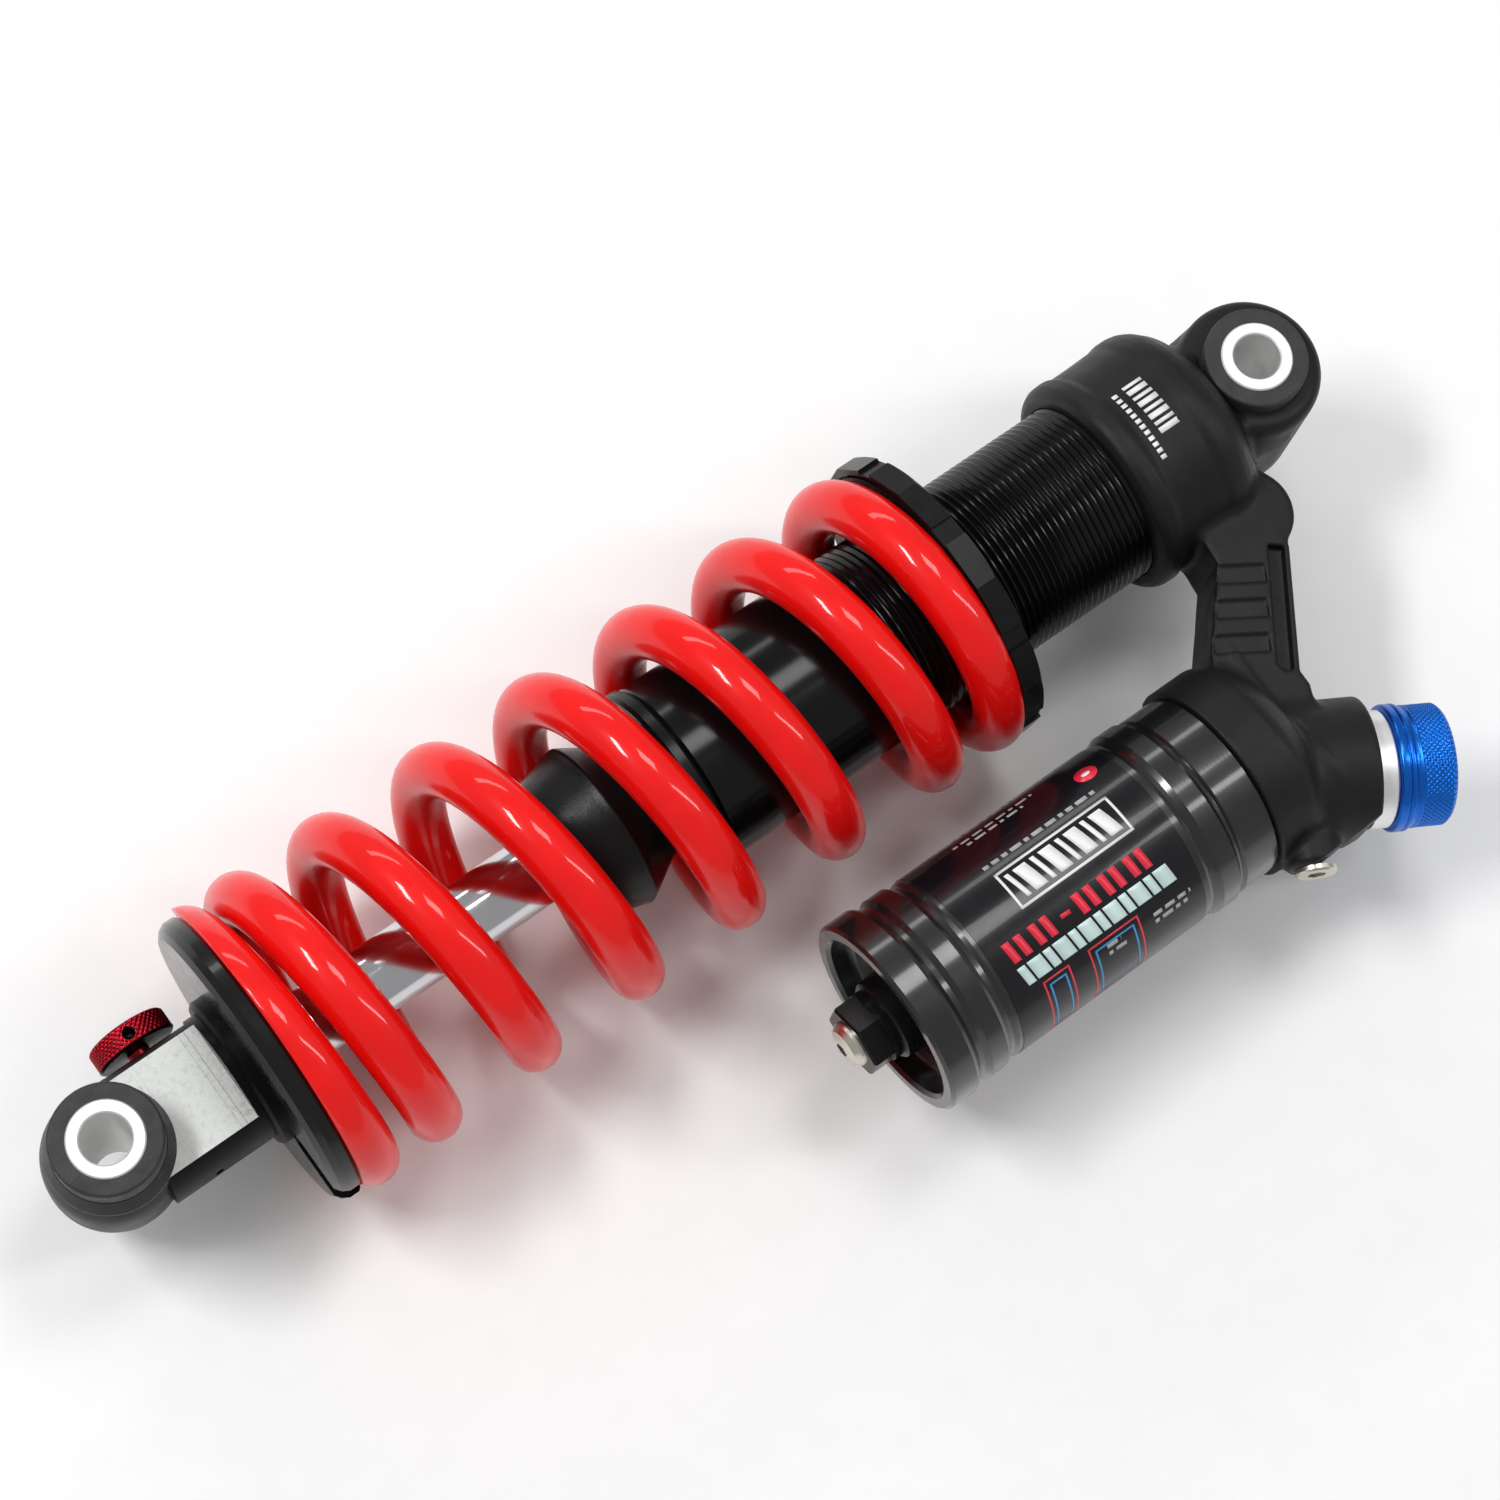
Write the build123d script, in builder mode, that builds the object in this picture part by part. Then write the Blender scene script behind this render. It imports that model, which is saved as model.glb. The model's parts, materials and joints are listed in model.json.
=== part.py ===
from build123d import *
import os
from math import cos, pi, radians, sin

# Rear coil-over damper with a piggyback reservoir, lying with both eye bores upright.
# Origin: centre of the body-eye bore.  +X runs along the damper axis from the shaft eye to
# the body eye, +Z is the bore axis, and the reservoir hangs on the -Y side.  Millimetres.

os.makedirs("parts", exist_ok=True)

# ---------------------------------------------------------------- driving dimensions
EYE_TO_EYE = 240.0
SHAFT_EYE_X = -EYE_TO_EYE

# eyes, their bushes and sleeves
BODY_EYE_R = 13.1
BODY_EYE_HALF = 13.2
BODY_EYE_ROUND = 2.6
SHAFT_EYE_R = 11.6
SHAFT_EYE_END_R = 9.5
SHAFT_EYE_HALF = 11.9
BUSH_FLANGE_R = 9.4
BUSH_END = 16.8
BUSH_R = 8.0
BUSH_DEPTH = 9.0
SLEEVE_R = 6.48
SLEEVE_HALF = 17.1
BOLT_BORE_R = 4.25
RUNNING = 0.04
TINY = 0.01

# shaft side
SHAFT_R = 6.2
SHAFT_BORE_R = 2.3
STUB_R = 12.1
STUB_START_X = -235.4
STUB_END_X = -216.2
HUB_R = 14.0
PERCH_BACK_X = -214.0
PERCH_FACE_X = -209.6
PERCH_R = 27.4
PERCH_SLOT = 6.4
FLAT_END_X = -217.6
FLAT_Z = 7.7
KNOB_FLAT_Y = 10.6
KNOB_X = -226.6
KNOB_Z = -2.9
KNOB_R = 7.25
KNOB_IN_Y = 13.0
KNOB_OUT_Y = 17.1

# damper body
TUBE_R = 17.4
TUBE_BORE_R = 14.0
SEAL_END_X = -129.0
TUBE_START_X = -126.2
THREAD_START_X = -86.0
THREAD_ROOT = 0.5
THREAD_PITCH = 1.37
TUBE_END_X = -16.0

# coil spring and preload collar
WIRE_R = 4.75
COIL_R = 24.0
COIL_TURNS = 7.79
COIL_TIP_ANGLE = 14.0
# each end of the coil: pitch while closed, closed turns, turns of easing, wire left by the grinding
LOW_END = (9.9, 0.7, 1.25, 4.05)
HIGH_END = (9.0, 0.7, 0.5, 3.55)
SEAT_X = -71.7
COLLAR_R = 28.4
COLLAR_START_X = -70.4
COLLAR_END_X = -67.2
COLLAR_NOTCHES = 8
COLLAR_TURNED = 39.0

# cast body head
CAP_FACE_X = -34.0
CAP_R = 20.6
ARM_HALF = 8.4
CHANNEL_DEPTH = 2.2
BAND_DEPTH = 0.5
BAND_TILT = -31.6

# reservoir and compression adjuster
RES_Y = -55.0
RES_R = 17.8
RES_BORE_R = 15.4
RES_RIM_R = 18.7
RES_TOP_X = -50.0
RES_END_X = -122.3
HEAD_R = 19.0
ADJ_ANGLE = 29.3
ADJ_R = 13.2
ADJ_LENGTH = 27.1
BLEED_END = 17.4

# ---------------------------------------------------------------- planes and outlines
reservoir_side = Plane(origin=(0, RES_Y, 0), x_dir=(1, 0, 0), z_dir=(0, 0, 1))
reservoir_axis = Axis((0, RES_Y, 0), (1, 0, 0))
adjuster_dir = Vector(cos(radians(ADJ_ANGLE)), -sin(radians(ADJ_ANGLE)), 0)
adjuster_out = Vector(-sin(radians(ADJ_ANGLE)), -cos(radians(ADJ_ANGLE)), 0)
adjuster_root = Vector(RES_TOP_X, RES_Y, 0)
adjuster_axis = Axis(adjuster_root, adjuster_dir)
adjuster_side = Plane(origin=adjuster_root, x_dir=adjuster_dir, z_dir=(0, 0, 1))
bleed_plane = Plane(
    origin=adjuster_root + adjuster_dir * 15.1 + Vector(0, 0, 2.6),
    x_dir=(0, 0, 1),
    z_dir=adjuster_out,
)
shaft_eye_side = Plane(origin=(SHAFT_EYE_X, 0, 0), x_dir=(1, 0, 0), z_dir=(0, 0, 1))


def outline(points, plane=Plane.XY):
    """A closed straight-sided profile on a plane."""
    with BuildSketch(plane) as profile:
        with BuildLine():
            Polyline(*points, close=True)
        make_face()
    return profile.sketch


def tube_outline(start, end, inner, outer, plane=Plane.XY):
    """Half section of a plain tube lying along the plane's own x direction."""
    return outline([(start, inner), (end, inner), (end, outer), (start, outer)], plane)


def adjuster_plane(distance):
    """The plane across the compression adjuster at one distance from its root."""
    return Plane(origin=adjuster_root + adjuster_dir * distance, x_dir=(0, 0, 1), z_dir=adjuster_dir)


def finish(builder, name):
    """Label one finished piece and write its file."""
    builder.part.label = name
    export_step(builder.part, f"parts/{name}.step")


# ---------------------------------------------------------------- body head casting
with BuildPart() as body_head:
    with BuildSketch(Plane.XY.offset(-BODY_EYE_HALF)):
        Circle(BODY_EYE_R)
    extrude(amount=2 * BODY_EYE_HALF)
    fillet(body_head.edges().filter_by(GeomType.CIRCLE), BODY_EYE_ROUND)
    with BuildSketch(Plane.YZ.offset(-16)):
        RectangleRounded(2 * BODY_EYE_R - 0.2, 21, 6)
    extrude(amount=15)
    # turned cap round the top of the damper tube, from its front lip to its shoulder
    cap = [(CAP_FACE_X, 0), (CAP_FACE_X, 19.0), (-33.2, CAP_R - 0.3), (-32.1, 20.9), (-30.0, 21.0)]
    cap += [(-28.6, 20.5), (-24.4, CAP_R), (-19.0, 20.8), (-17.4, 21.2), (-15.6, 21.2), (-13.0, 20.4)]
    cap += [(-11.0, 18.8), (-9.5, 16.6), (-8.2, 14.0), (-7.2, 10.0), (-7.2, 0)]
    revolve(outline(cap), axis=Axis.X)
    # knuckle and arm that carry the reservoir
    with BuildSketch(Plane.XY.offset(-ARM_HALF)):
        with Locations((-16.0, -20.5)):
            Circle(8.4)
        with BuildLine():
            Polyline(
                (-27, -12), (-26.0, -19), (-26.8, -25.0), (-31.7, -30.4), (-38.2, -37.3), (-42, -44),
                (-42, -58), (-29.2, -58), (-28.0, -53.9), (-26.9, -51.5), (-26.8, -48.6), (-13.8, -29.7),
                (-9, -14), close=True,
            )
        make_face()
    extrude(amount=2 * ARM_HALF)
    # head of the reservoir, its dome and the boss of the compression adjuster
    dome = [(RES_TOP_X, 0), (RES_TOP_X, HEAD_R), (-42.2, HEAD_R), (-40.4, 18.2), (-37.6, 15.6)]
    dome += [(-36.0, 12.4), (-35.2, 7.0), (-35.2, 0)]
    revolve(outline(dome, reservoir_side), axis=reservoir_axis)
    with BuildSketch(adjuster_plane(4.0)):
        Circle(ADJ_R)
    extrude(amount=ADJ_LENGTH - 4.0)
    # bleed boss on the outer side of the adjuster boss
    with BuildSketch(bleed_plane):
        Circle(5.3)
    extrude(amount=BLEED_END)
    # channel behind the rim on the arm's outer side, and three shallow bands, on both faces
    for side in (1, -1):
        with BuildSketch(Plane.XY.offset(side * ARM_HALF)) as channel:
            with BuildLine():
                Polyline(
                    (-16.9, -27.2), (-29.5, -45.3), (-29.2, -47.1), (-27.7, -47.8), (-14.7, -29.1),
                    close=True,
                )
            make_face()
            fillet(channel.vertices(), 0.4)
        extrude(amount=-side * CHANNEL_DEPTH, mode=Mode.SUBTRACT)
        for band in range(3):
            with BuildSketch(Plane.XY.offset(side * ARM_HALF)):
                with Locations(Location((-24.3 - 4.05 * band, -28.8 - 5.05 * band), BAND_TILT)):
                    Rectangle(8.8 + 0.6 * band, 3.3)
            extrude(amount=-side * BAND_DEPTH, mode=Mode.SUBTRACT)
    # room around the bush flanges
    for side in (1, -1):
        with BuildSketch(Plane.XY.offset(side * BODY_EYE_HALF)):
            Circle(BUSH_FLANGE_R + 0.5)
        extrude(amount=side * 10, mode=Mode.SUBTRACT)
    # bores: bush bore, tube socket, oil way, reservoir socket, adjuster and bleed bores
    with BuildSketch(Plane.XY.offset(-20)):
        Circle(BUSH_R + TINY)
    extrude(amount=40, mode=Mode.SUBTRACT)
    revolve(tube_outline(CAP_FACE_X - 1, -15, 0, TUBE_R + TINY), axis=Axis.X, mode=Mode.SUBTRACT)
    oil_start = Vector(-20, -12, 0)
    oil_way = Vector(-44, RES_Y + 6, 0) - oil_start
    with BuildSketch(Plane(origin=oil_start, z_dir=oil_way)):
        Circle(1.8)
    extrude(amount=oil_way.length, mode=Mode.SUBTRACT)
    socket = [(RES_TOP_X - 8, 0), (RES_TOP_X - 8, 26), (RES_TOP_X, 26), (RES_TOP_X, 16.8 + TINY)]
    socket += [(-43, 16.8 + TINY), (-43, 0)]
    revolve(outline(socket, reservoir_side), axis=reservoir_axis, mode=Mode.SUBTRACT)
    with BuildSketch(adjuster_plane(15.0)):
        Circle(9.0 + TINY)
    extrude(amount=20, mode=Mode.SUBTRACT)
    with BuildSketch(adjuster_plane(6.0)):
        Circle(2.2)
    extrude(amount=12, mode=Mode.SUBTRACT)
    with BuildSketch(bleed_plane.offset(BLEED_END - 5)):
        Circle(2.5)
    extrude(amount=5, mode=Mode.SUBTRACT)
finish(body_head, "body_head")


# ---------------------------------------------------------------- bushes and sleeves of both eyes
def eye_bush(name, x, half, side):
    """A flanged bearing bush pressed into one end of an eye bore."""
    with BuildPart() as bush:
        with BuildSketch(Plane.XY.offset(side * half)):
            with Locations((x, 0)):
                Circle(BUSH_FLANGE_R)
        extrude(amount=side * (BUSH_END - half))
        rim = bush.edges().filter_by(GeomType.CIRCLE).group_by(Axis.Z)[-1 if side > 0 else 0]
        fillet(rim, 0.6)
        with BuildSketch(Plane.XY.offset(side * half)):
            with Locations((x, 0)):
                Circle(BUSH_R)
        extrude(amount=-side * BUSH_DEPTH)
        with BuildSketch(Plane.XY.offset(-side)):
            with Locations((x, 0)):
                Circle(SLEEVE_R + RUNNING)
        extrude(amount=side * 20, mode=Mode.SUBTRACT)
    finish(bush, name)


def eye_sleeve(name, x):
    """The plain aluminium tube that the mounting bolt passes through."""
    with BuildPart() as sleeve:
        with BuildSketch(Plane.XY.offset(-SLEEVE_HALF)):
            with Locations((x, 0)):
                Circle(SLEEVE_R)
                Circle(BOLT_BORE_R, mode=Mode.SUBTRACT)
        extrude(amount=2 * SLEEVE_HALF)
        chamfer(sleeve.edges().filter_by(GeomType.CIRCLE), 0.25)
    finish(sleeve, name)


eyes = (("body_eye", 0.0, BODY_EYE_HALF), ("shaft_eye", SHAFT_EYE_X, SHAFT_EYE_HALF))
for eye, eye_x, eye_half in eyes:
    eye_bush(f"{eye}_bush_upper", eye_x, eye_half, 1)
    eye_bush(f"{eye}_bush_lower", eye_x, eye_half, -1)
    eye_sleeve(f"{eye}_sleeve", eye_x)

# ---------------------------------------------------------------- shaft eye with its stub
with BuildPart() as shaft_eye:
    stub = [(STUB_START_X, 0), (STUB_START_X, STUB_R), (STUB_END_X, STUB_R), (STUB_END_X, HUB_R - 0.6)]
    stub += [(STUB_END_X + 0.6, HUB_R), (PERCH_BACK_X, HUB_R), (PERCH_BACK_X, 0)]
    revolve(outline(stub), axis=Axis.X)
    # flats milled on both faces and under the rebound knob
    for side in (1, -1):
        with BuildSketch(Plane.XY.offset(side * FLAT_Z)):
            with Locations((FLAT_END_X - 15, 0)):
                Rectangle(30, 30)
        extrude(amount=side * 8, mode=Mode.SUBTRACT)
    with BuildSketch(Plane.XZ.offset(-KNOB_FLAT_Y)):
        with Locations((FLAT_END_X - 15.6, 0)):
            Rectangle(30, 30)
    extrude(amount=-6, mode=Mode.SUBTRACT)
    # barrel-shaped eye
    with BuildSketch(Plane(origin=(SHAFT_EYE_X, 0, 0), x_dir=(1, 0, 0), z_dir=(0, -1, 0))):
        with BuildLine():
            Spline(
                (SHAFT_EYE_END_R, -SHAFT_EYE_HALF), (10.5, -8.5), (11.35, -5), (SHAFT_EYE_R, 0),
                (11.35, 5), (10.5, 8.5), (SHAFT_EYE_END_R, SHAFT_EYE_HALF),
            )
            Polyline(
                (SHAFT_EYE_END_R, SHAFT_EYE_HALF), (0, SHAFT_EYE_HALF), (0, -SHAFT_EYE_HALF),
                (SHAFT_EYE_END_R, -SHAFT_EYE_HALF),
            )
        make_face()
    revolve(axis=Axis((SHAFT_EYE_X, 0, 0), (0, 0, 1)))
    # bush bore, shaft thread bore, rebound knob bore and the drilled hole opposite it
    with BuildSketch(shaft_eye_side.offset(-20)):
        Circle(BUSH_R + TINY)
    extrude(amount=40, mode=Mode.SUBTRACT)
    revolve(tube_outline(-222, PERCH_BACK_X + 1, 0, SHAFT_R + TINY), axis=Axis.X, mode=Mode.SUBTRACT)
    revolve(tube_outline(KNOB_X, -221, 0, SHAFT_BORE_R), axis=Axis.X, mode=Mode.SUBTRACT)
    with BuildSketch(Plane.XZ.offset(3)):
        with Locations((KNOB_X, KNOB_Z)):
            Circle(2.05)
    extrude(amount=-15, mode=Mode.SUBTRACT)
    with BuildSketch(Plane.XZ.offset(2)):
        with Locations((KNOB_X - 0.6, 0.9)):
            Circle(0.8)
    extrude(amount=12, mode=Mode.SUBTRACT)
finish(shaft_eye, "shaft_eye")

# ---------------------------------------------------------------- spring perch and its slot
with BuildPart() as lower_perch:
    rim = [(PERCH_BACK_X, 6.5), (PERCH_BACK_X, 25.6), (-213.2, 26.7), (-212.0, PERCH_R)]
    rim += [(PERCH_FACE_X - 0.6, PERCH_R), (PERCH_FACE_X, PERCH_R - 0.6), (PERCH_FACE_X, 17.6)]
    rim += [(-206.8, 17.4), (-206.4, 17.0), (-206.4, 16.4), (PERCH_FACE_X, 16.4), (PERCH_FACE_X, 6.5)]
    revolve(outline(rim), axis=Axis.X)
    with BuildSketch(Plane.YZ.offset(PERCH_BACK_X - 1)):
        with Locations((-16.8, 0)):
            Circle(PERCH_SLOT / 2)
        with Locations((-24.8, 0)):
            Rectangle(16, PERCH_SLOT)
    extrude(amount=10, mode=Mode.SUBTRACT)
finish(lower_perch, "lower_perch")

# ---------------------------------------------------------------- shaft with its piston
SHAFT_END_X = -93.0
with BuildPart() as shaft:
    revolve(tube_outline(-221.9, SHAFT_END_X, SHAFT_BORE_R, SHAFT_R), axis=Axis.X)
    chamfer(shaft.edges().filter_by(GeomType.CIRCLE).group_by(Axis.X)[-1], 0.4)
finish(shaft, "shaft")

PISTON_R = TUBE_BORE_R - 0.3


def shaft_ring(name, start, end, outer, inner=SHAFT_R + TINY):
    """A plain ring threaded on the shaft."""
    with BuildPart() as ring:
        revolve(tube_outline(start, end, inner, outer), axis=Axis.X)
    finish(ring, name)


shaft_ring("top_out_bumper", -111.6, -109.6, 10.5)
with BuildPart() as rebound_shims:
    for layer in range(4):
        start = -109.6 + 0.3 * layer
        revolve(tube_outline(start, start + 0.3, SHAFT_R + TINY, 8.0 + layer), axis=Axis.X)
finish(rebound_shims, "rebound_shims")

with BuildPart() as piston:
    land = [(-108.4, SHAFT_R + TINY), (-108.4, PISTON_R), (-105.6, PISTON_R), (-105.6, PISTON_R - 1)]
    land += [(-101.6, PISTON_R - 1), (-101.6, PISTON_R), (-99.4, PISTON_R), (-99.4, SHAFT_R + TINY)]
    revolve(outline(land), axis=Axis.X)
    with BuildSketch(Plane.YZ.offset(-109)):
        with PolarLocations(9.6, 6):
            Circle(1.1)
    extrude(amount=10, mode=Mode.SUBTRACT)
finish(piston, "piston")
shaft_ring("piston_band", -105.6, -101.6, TUBE_BORE_R - RUNNING, PISTON_R - 1)

with BuildPart() as compression_shims:
    for layer in range(5):
        start = -99.4 + 0.3 * layer
        revolve(tube_outline(start, start + 0.3, SHAFT_R + TINY, 12.0 - 0.8 * layer), axis=Axis.X)
finish(compression_shims, "compression_shims")

with BuildPart() as piston_nut:
    with BuildSketch(Plane.YZ.offset(-97.9)):
        RegularPolygon(8.6, 6)
        Circle(SHAFT_R + TINY, mode=Mode.SUBTRACT)
    extrude(amount=4.4)
finish(piston_nut, "piston_nut")

# ---------------------------------------------------------------- rebound adjuster
with BuildPart() as rebound_knob:
    with BuildSketch(Plane.XZ.offset(-KNOB_IN_Y)):
        with Locations((KNOB_X, KNOB_Z)):
            Circle(KNOB_R)
    extrude(amount=KNOB_IN_Y - KNOB_OUT_Y)
    chamfer(rebound_knob.edges().filter_by(GeomType.CIRCLE), 0.4)
    with BuildSketch(Plane.XZ.offset(-1.5)):
        with Locations((KNOB_X, KNOB_Z)):
            Circle(2.0)
    extrude(amount=-12)
    # key hole drilled through the rim, and the seat of the end screw
    with BuildSketch(Plane.XY.offset(KNOB_Z + KNOB_R - 3)):
        with Locations((KNOB_X, (KNOB_IN_Y + KNOB_OUT_Y) / 2)):
            Circle(1.1)
    extrude(amount=6, mode=Mode.SUBTRACT)
    with BuildSketch(Plane.XZ.offset(-KNOB_OUT_Y - 1)):
        with Locations((KNOB_X, KNOB_Z)):
            Circle(2.4)
    extrude(amount=2.4, mode=Mode.SUBTRACT)
finish(rebound_knob, "rebound_knob")


def socket_screw(builder_plane, head_r, head_h, hex_r):
    """A low screw head with a hexagon socket, standing on a plane."""
    with BuildPart() as screw:
        with BuildSketch(builder_plane):
            Circle(head_r)
        extrude(amount=head_h)
        top = screw.faces().sort_by(Axis(builder_plane.origin, builder_plane.z_dir))[-1]
        chamfer(top.edges(), 0.35)
        with BuildSketch(builder_plane.offset(head_h)):
            RegularPolygon(hex_r, 6)
        extrude(amount=-min(1.5, head_h - 0.4), mode=Mode.SUBTRACT)
    return screw


knob_screw_plane = Plane(origin=(KNOB_X, KNOB_OUT_Y - 1.4, KNOB_Z), x_dir=(1, 0, 0), z_dir=(0, 1, 0))
finish(socket_screw(knob_screw_plane, 2.38, 1.2, 1.15), "rebound_knob_screw")

with BuildPart() as rebound_rod:
    tip = [(KNOB_X + 2.4, 0), (KNOB_X + 2.4, 1.9), (-97, 1.9), (-95, 0.6), (-95, 0)]
    revolve(outline(tip), axis=Axis.X)
finish(rebound_rod, "rebound_rod")

# ---------------------------------------------------------------- damper tube and seal head
with BuildPart() as damper_tube:
    wall = [(TUBE_START_X, TUBE_BORE_R), (TUBE_START_X, TUBE_R - 0.6), (TUBE_START_X + 0.6, TUBE_R)]
    wall += [(TUBE_END_X, TUBE_R), (TUBE_END_X, TUBE_BORE_R)]
    revolve(outline(wall), axis=Axis.X)
    turns = int((TUBE_END_X - 1 - THREAD_START_X) / THREAD_PITCH)
    for turn in range(turns):
        start = THREAD_START_X + THREAD_PITCH * turn
        groove = [(start, TUBE_R + 0.1), (start + THREAD_PITCH / 2, TUBE_R - THREAD_ROOT)]
        groove += [(start + THREAD_PITCH, TUBE_R + 0.1)]
        revolve(outline(groove), axis=Axis.X, mode=Mode.SUBTRACT)
finish(damper_tube, "damper_tube")

with BuildPart() as seal_head:
    head = [(SEAL_END_X, 9.4), (SEAL_END_X, 17.3), (SEAL_END_X + 0.6, 17.9), (-126.8, 17.9)]
    head += [(TUBE_START_X, 17.3), (TUBE_START_X, TUBE_BORE_R - 0.02), (-120.2, TUBE_BORE_R - 0.02)]
    head += [(-120.2, 12.2), (-117.8, 12.2), (-117.8, TUBE_BORE_R - 0.02), (-112, TUBE_BORE_R - 0.02)]
    head += [(-112, 7.6), (-125.4, 7.6), (-125.4, 9.4)]
    revolve(outline(head), axis=Axis.X)
finish(seal_head, "seal_head")
shaft_ring("wiper_seal", SEAL_END_X + 0.2, -125.4, 9.4, SHAFT_R + RUNNING)
shaft_ring("seal_head_bush", -125.4, -112.4, 7.6, SHAFT_R + RUNNING)
shaft_ring("seal_head_ring", -120.2, -117.8, TUBE_BORE_R - 0.02, 12.2)

with BuildPart() as bump_stop:
    cone = [(-152.5, 6.6), (-152.5, 12.2), (-151.7, 13.1), (-142.6, 15.4), (-141.6, 15.7)]
    cone += [(-140.8, 15.3), (-134.2, 11.2), (-130.6, 10.4), (-130.6, 6.6)]
    revolve(outline(cone), axis=Axis.X)
finish(bump_stop, "bump_stop")


# ---------------------------------------------------------------- coil spring with closed ground ends
def climb(turns, end, open_pitch):
    """How far the wire has climbed from one ground tip: closed, then easing to the open pitch."""
    pitch, dead, ease, _ = end
    if turns <= dead:
        return pitch * turns
    if turns <= dead + ease:
        return pitch * turns + (open_pitch - pitch) * (turns - dead) ** 2 / (2 * ease)
    return open_pitch * turns - (open_pitch - pitch) * (dead + ease / 2)


LOW_X = PERCH_FACE_X + LOW_END[3] - WIRE_R
HIGH_X = SEAT_X - HIGH_END[3] + WIRE_R
low_lost = LOW_END[1] + LOW_END[2] / 2
high_lost = HIGH_END[1] + HIGH_END[2] / 2
open_rise = HIGH_X - LOW_X - LOW_END[0] * low_lost - HIGH_END[0] * high_lost
OPEN_PITCH = open_rise / (COIL_TURNS - low_lost - high_lost)


def spring_x(turns):
    """Axial place of the wire's centre at a number of turns from the lower tip."""
    if turns <= COIL_TURNS / 2:
        return LOW_X + climb(turns, LOW_END, OPEN_PITCH)
    return HIGH_X - climb(COIL_TURNS - turns, HIGH_END, OPEN_PITCH)


points_per_turn = 16
coil_points = []
for index in range(int(COIL_TURNS * points_per_turn) + 1):
    turn = min(index / points_per_turn, COIL_TURNS)
    around = 2 * pi * turn + radians(COIL_TIP_ANGLE)
    coil_points.append((spring_x(turn), COIL_R * cos(around), COIL_R * sin(around)))

with BuildPart() as coil_spring:
    with BuildLine() as coil_path:
        Spline(*coil_points)
    with BuildSketch(Plane(origin=coil_path.line @ 0, z_dir=coil_path.line % 0)):
        Circle(WIRE_R)
    sweep(path=coil_path.line, is_frenet=True)
    split(bisect_by=Plane.YZ.offset(PERCH_FACE_X), keep=Keep.TOP)
    split(bisect_by=Plane.YZ.offset(SEAT_X), keep=Keep.BOTTOM)
finish(coil_spring, "coil_spring")

# ---------------------------------------------------------------- preload seat ring and collar
with BuildPart() as spring_seat:
    revolve(tube_outline(SEAT_X, COLLAR_START_X - 0.1, TUBE_R + 0.4, 26.4), axis=Axis.X)
finish(spring_seat, "spring_seat")

with BuildPart() as preload_collar:
    ring = [(COLLAR_START_X, TUBE_R + RUNNING), (COLLAR_START_X, 26.8), (SEAT_X + 0.2, 26.8)]
    ring += [(SEAT_X + 0.2, COLLAR_R), (COLLAR_END_X - 0.5, COLLAR_R), (COLLAR_END_X, COLLAR_R - 0.5)]
    ring += [(COLLAR_END_X, TUBE_R + RUNNING)]
    revolve(outline(ring), axis=Axis.X)
    # sixteen flats round the rim, then a spanner notch at every second corner
    with BuildSketch(Plane.YZ.offset(SEAT_X - 1)):
        RegularPolygon(COLLAR_R, 2 * COLLAR_NOTCHES, rotation=COLLAR_TURNED)
    extrude(amount=10, mode=Mode.INTERSECT)
    with BuildSketch(Plane.YZ.offset(SEAT_X - 1)):
        with PolarLocations(COLLAR_R + 1.8, COLLAR_NOTCHES, start_angle=COLLAR_TURNED):
            Rectangle(5.6, 3.9)
    extrude(amount=10, mode=Mode.SUBTRACT)
finish(preload_collar, "preload_collar")

# ---------------------------------------------------------------- reservoir
def reservoir_ring(name, points):
    """A turned piece on the reservoir's axis."""
    with BuildPart() as ring:
        revolve(outline(points, reservoir_side), axis=reservoir_axis)
    finish(ring, name)


END_WALL_X = -116.6
can = [(-44, RES_BORE_R), (-44, 16.8), (RES_TOP_X, 16.8), (RES_TOP_X, 17.6), (-50.4, RES_R + 0.1)]
can += [(-57.2, RES_R + 0.1), (-57.7, 17.4), (-58.4, 17.6), (-59.2, 18.4), (-62.8, 18.4), (-63.8, 17.9)]
can += [(-64.4, 17.5), (-65.2, RES_R), (-107.2, RES_R), (-108, 17.4), (-109, 17.6), (-110, 18.3)]
can += [(-113.4, 18.3), (-114.4, 17.5), (-115.4, 17.6), (-116.4, 18.4), (-117, RES_RIM_R)]
can += [(-121.7, RES_RIM_R), (RES_END_X, RES_RIM_R - 0.6), (RES_END_X, 16.2), (-121.6, 15.6)]
can += [(-117.9, RES_BORE_R), (-117.9, 16.2), (END_WALL_X, 16.2), (END_WALL_X, RES_BORE_R)]
reservoir_ring("reservoir_can", can)
snap_ring = [(-117.9, 13.9), (END_WALL_X, 13.9), (END_WALL_X, 16.18), (-117.9, 16.18)]
reservoir_ring("retaining_ring", snap_ring)

end_cap = [(-109, 0), (-109, RES_BORE_R - 0.02), (END_WALL_X, RES_BORE_R - 0.02), (END_WALL_X, 9.0)]
end_cap += [(-117.4, 7.8), (-122.6, 7.4), (-123, 7.0), (-123, 3.2), (-112, 3.2), (-112, 0)]
reservoir_ring("reservoir_end_cap", end_cap)

SEAL_START_X = -90.4
SEAL_STOP_X = -87.6
float_piston = [(-84, 0), (-84, 11), (-84.6, 15.0), (SEAL_STOP_X, 15.0), (SEAL_STOP_X, 13.2)]
float_piston += [(SEAL_START_X, 13.2), (SEAL_START_X, 15.0), (-94, 15.0), (-94, 12.4), (-87, 12.4), (-87, 0)]
reservoir_ring("floating_piston", float_piston)
float_seal = [(SEAL_START_X, 13.2), (SEAL_STOP_X, 13.2), (SEAL_STOP_X, RES_BORE_R - RUNNING)]
float_seal += [(SEAL_START_X, RES_BORE_R - RUNNING)]
reservoir_ring("floating_piston_seal", float_seal)

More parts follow.
